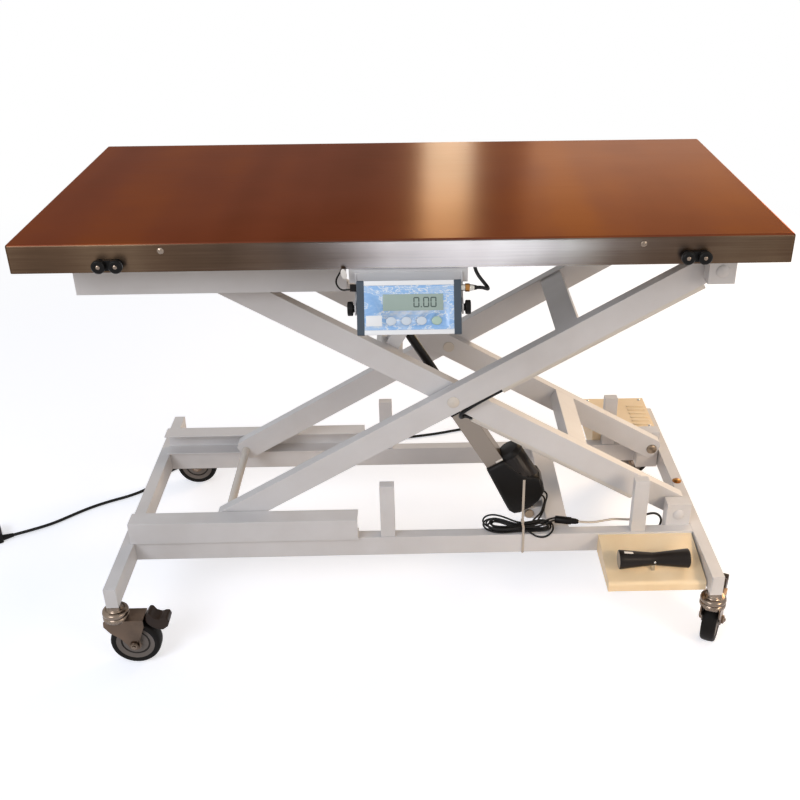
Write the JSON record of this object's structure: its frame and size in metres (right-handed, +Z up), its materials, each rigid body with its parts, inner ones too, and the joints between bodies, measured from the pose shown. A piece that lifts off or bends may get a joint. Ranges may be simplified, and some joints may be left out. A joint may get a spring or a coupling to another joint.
{
  "type": "veterinary exam table",
  "caption": "Electric scissor-lift animal exam table with a stainless weighing top, tilting weight display, foot rocker and braked swivel casters.",
  "frame": {"origin": "on the floor, under the middle of the table's outer box", "axes": "+X along the table to the fixed hinge end, -Y to the display side, +Z up"},
  "size_m": [1.6887, 0.9654, 0.881],
  "materials": {
    "powder_coat": "semi-gloss white powder coat",
    "white_plastic": "white plastic",
    "brushed_stainless": "brushed stainless sheet",
    "aluminium": "anodised",
    "bright_steel": "plated",
    "zinc_plate": "zinc plated pressing",
    "tyre_rubber": "black rubber tread on a grey hub",
    "black_plastic": "moulded black plastic",
    "roller_nylon": "turned nylon",
    "black_paint": "black coated tube",
    "black_cable": "black cable sheath",
    "grey_cable": "grey cable sheath"
  },
  "bodies": {
    "base": {"base_end_tubes": "powder_coat", "base_rails": "powder_coat", "lower_tracks": "powder_coat", "lower_hinge_blocks": "powder_coat", "actuator_clevis": "powder_coat", "caster_stems": "bright_steel", "pedal_tray": "powder_coat", "control_box": "powder_coat", "mains_cord": "black_cable", "mains_plug": "black_plastic", "cable_hank": "black_cable", "cable_tie": "white_plastic", "inline_connector": "black_plastic", "motor_cable": "black_cable", "motor_cable_second": "black_cable", "pedal_cable": "grey_cable"},
    "inner_arms": {"inner_arms": "powder_coat", "inner_cable_duct": "white_plastic", "lift_beam": "powder_coat", "upper_roller_shaft": "bright_steel"},
    "outer_arms": {"outer_arms": "powder_coat", "outer_cable_duct": "white_plastic", "outer_arm_pins": "bright_steel", "centre_loop": "black_cable"},
    "lower_rollers": {"lower_rollers": "roller_nylon"},
    "upper_rollers": {"upper_rollers": "roller_nylon"},
    "top": {"table_top": "brushed_stainless", "top_stiffeners": "brushed_stainless", "load_cells": "aluminium", "upper_frame": "powder_coat", "upper_tracks": "powder_coat", "upper_hinge_blocks": "powder_coat", "skirt_screws": "bright_steel", "leash_cleats": "black_plastic", "display_bracket": "powder_coat", "display_cable_right": "black_cable", "display_cable_left": "black_cable"},
    "actuator": {"actuator_housing": "black_plastic", "actuator_profile": "aluminium"},
    "push_rod": {"actuator_rod": "black_paint"},
    "foot_rocker": {"foot_rocker": "black_plastic"},
    "display": {"display_case": "aluminium", "display_plugs": "black_plastic"},
    "display_knobs": {"display_knobs": "black_plastic"},
    "front_left_fork": {"caster_fork_front_left": "zinc_plate"},
    "front_left_wheel": {"caster_wheel_front_left": "tyre_rubber"},
    "front_left_brake": {"caster_brake_front_left": "black_plastic"},
    "back_left_fork": {"caster_fork_back_left": "zinc_plate"},
    "back_left_wheel": {"caster_wheel_back_left": "tyre_rubber"},
    "back_left_brake": {"caster_brake_back_left": "black_plastic"},
    "front_right_fork": {"caster_fork_front_right": "zinc_plate"},
    "front_right_wheel": {"caster_wheel_front_right": "tyre_rubber"},
    "front_right_brake": {"caster_brake_front_right": "black_plastic"},
    "back_right_fork": {"caster_fork_back_right": "zinc_plate"},
    "back_right_wheel": {"caster_wheel_back_right": "tyre_rubber"},
    "back_right_brake": {"caster_brake_back_right": "black_plastic"},
    "key_zero": {"display_key_zero": "white_plastic"},
    "key_tare": {"display_key_tare": "white_plastic"},
    "key_hold": {"display_key_hold": "white_plastic"},
    "key_power": {"display_key_power": "white_plastic"}
  },
  "joints": [
    {"name": "lift", "type": "hinge", "parent": "base", "child": "inner_arms", "pos_m": [0.557, 0.017, 0.21], "axis": [0, 1, 0], "range_deg": [-26.08, 4.2]},
    {"name": "scissor", "type": "hinge", "parent": "inner_arms", "child": "outer_arms", "pos_m": [0.08242, 0.017, 0.484], "axis": [0, 1, 0], "range_deg": [-8.5, 52.26], "deforming": ["centre_loop"]},
    {"name": "top_level", "type": "hinge", "parent": "outer_arms", "child": "top", "pos_m": [0.57086, 0.017, 0.766], "axis": [0, 1, 0], "range_deg": [-26.18, 4.3]},
    {"name": "lower_roller_spin", "type": "hinge", "parent": "outer_arms", "child": "lower_rollers", "pos_m": [-0.39216, 0.017, 0.21], "axis": [0, 1, 0], "continuous": true},
    {"name": "upper_roller_spin", "type": "hinge", "parent": "inner_arms", "child": "upper_rollers", "pos_m": [-0.40602, 0.017, 0.766], "axis": [0, 1, 0], "continuous": true},
    {"name": "actuator_swing", "type": "hinge", "parent": "base", "child": "actuator", "pos_m": [0.253, -0.043, 0.16], "axis": [0, 1, 0], "range_deg": [-36.09, 5.9], "deforming": ["motor_cable", "motor_cable_second"]},
    {"name": "push_rod_swing", "type": "hinge", "parent": "inner_arms", "child": "push_rod", "pos_m": [-0.01452, -0.043, 0.61056], "axis": [0, 1, 0], "range_deg": [-10.01, 1.7]},
    {"name": "foot_rocker_tip", "type": "hinge", "parent": "base", "child": "foot_rocker", "pos_m": [0.48, -0.266, 0.189], "axis": [0, 1, 0], "range_deg": [-2.5, 2.5], "stiffness_Nm_per_rad": 8},
    {"name": "display_tilt", "type": "hinge", "parent": "top", "child": "display", "pos_m": [0.001, -0.3375, 0.775], "axis": [1, 0, 0], "range_deg": [-14, 16]},
    {"name": "display_knob_turn", "type": "hinge", "parent": "top", "child": "display_knobs", "pos_m": [0.001, -0.3375, 0.775], "axis": [1, 0, 0], "continuous": true},
    {"name": "front_left_swivel", "type": "hinge", "parent": "base", "child": "front_left_fork", "pos_m": [-0.5925, -0.3105, 0.112], "axis": [0, 0, 1], "continuous": true},
    {"name": "front_left_roll", "type": "hinge", "parent": "front_left_fork", "child": "front_left_wheel", "pos_m": [-0.561, -0.3105, 0.05], "axis": [0, 1, 0], "continuous": true},
    {"name": "front_left_brake_press", "type": "hinge", "parent": "front_left_fork", "child": "front_left_brake", "pos_m": [-0.541, -0.3105, 0.1033], "axis": [0, 1, 0], "range_deg": [0, 10]},
    {"name": "back_left_swivel", "type": "hinge", "parent": "base", "child": "back_left_fork", "pos_m": [-0.5925, 0.3445, 0.112], "axis": [0, 0, 1], "continuous": true},
    {"name": "back_left_roll", "type": "hinge", "parent": "back_left_fork", "child": "back_left_wheel", "pos_m": [-0.561, 0.3445, 0.05], "axis": [0, 1, 0], "continuous": true},
    {"name": "back_left_brake_press", "type": "hinge", "parent": "back_left_fork", "child": "back_left_brake", "pos_m": [-0.541, 0.3445, 0.1033], "axis": [0, 1, 0], "range_deg": [0, 10]},
    {"name": "front_right_swivel", "type": "hinge", "parent": "base", "child": "front_right_fork", "pos_m": [0.5965, -0.3105, 0.112], "axis": [0, 0, 1], "continuous": true},
    {"name": "front_right_roll", "type": "hinge", "parent": "front_right_fork", "child": "front_right_wheel", "pos_m": [0.61031, -0.28219, 0.05], "axis": [-0.8988, 0.4384, 0], "continuous": true},
    {"name": "front_right_brake_press", "type": "hinge", "parent": "front_right_fork", "child": "front_right_brake", "pos_m": [0.61908, -0.26421, 0.1033], "axis": [-0.8988, 0.4384, 0], "range_deg": [0, 10]},
    {"name": "back_right_swivel", "type": "hinge", "parent": "base", "child": "back_right_fork", "pos_m": [0.5965, 0.3445, 0.112], "axis": [0, 0, 1], "continuous": true},
    {"name": "back_right_roll", "type": "hinge", "parent": "back_right_fork", "child": "back_right_wheel", "pos_m": [0.56548, 0.33903, 0.05], "axis": [0.1736, -0.9848, 0], "continuous": true},
    {"name": "back_right_brake_press", "type": "hinge", "parent": "back_right_fork", "child": "back_right_brake", "pos_m": [0.54578, 0.33556, 0.1033], "axis": [0.1736, -0.9848, 0], "range_deg": [0, 10]},
    {"name": "key_zero_press", "type": "slide", "parent": "display", "child": "key_zero", "axis": [0, 0.8988, -0.4384], "range_m": [0, 0.0008], "stiffness_N_per_m": 600},
    {"name": "key_tare_press", "type": "slide", "parent": "display", "child": "key_tare", "axis": [0, 0.8988, -0.4384], "range_m": [0, 0.0008], "stiffness_N_per_m": 600},
    {"name": "key_hold_press", "type": "slide", "parent": "display", "child": "key_hold", "axis": [0, 0.8988, -0.4384], "range_m": [0, 0.0008], "stiffness_N_per_m": 600},
    {"name": "key_power_press", "type": "slide", "parent": "display", "child": "key_power", "axis": [0, 0.8988, -0.4384], "range_m": [0, 0.0008], "stiffness_N_per_m": 600}
  ],
  "couplings": [
    {"joint": "scissor", "follows": "lift", "ratio": -2},
    {"joint": "top_level", "follows": "lift", "ratio": 1},
    {"joint": "actuator_swing", "follows": "lift", "ratio": 1.38},
    {"joint": "push_rod_swing", "follows": "lift", "ratio": 0.38}
  ]
}
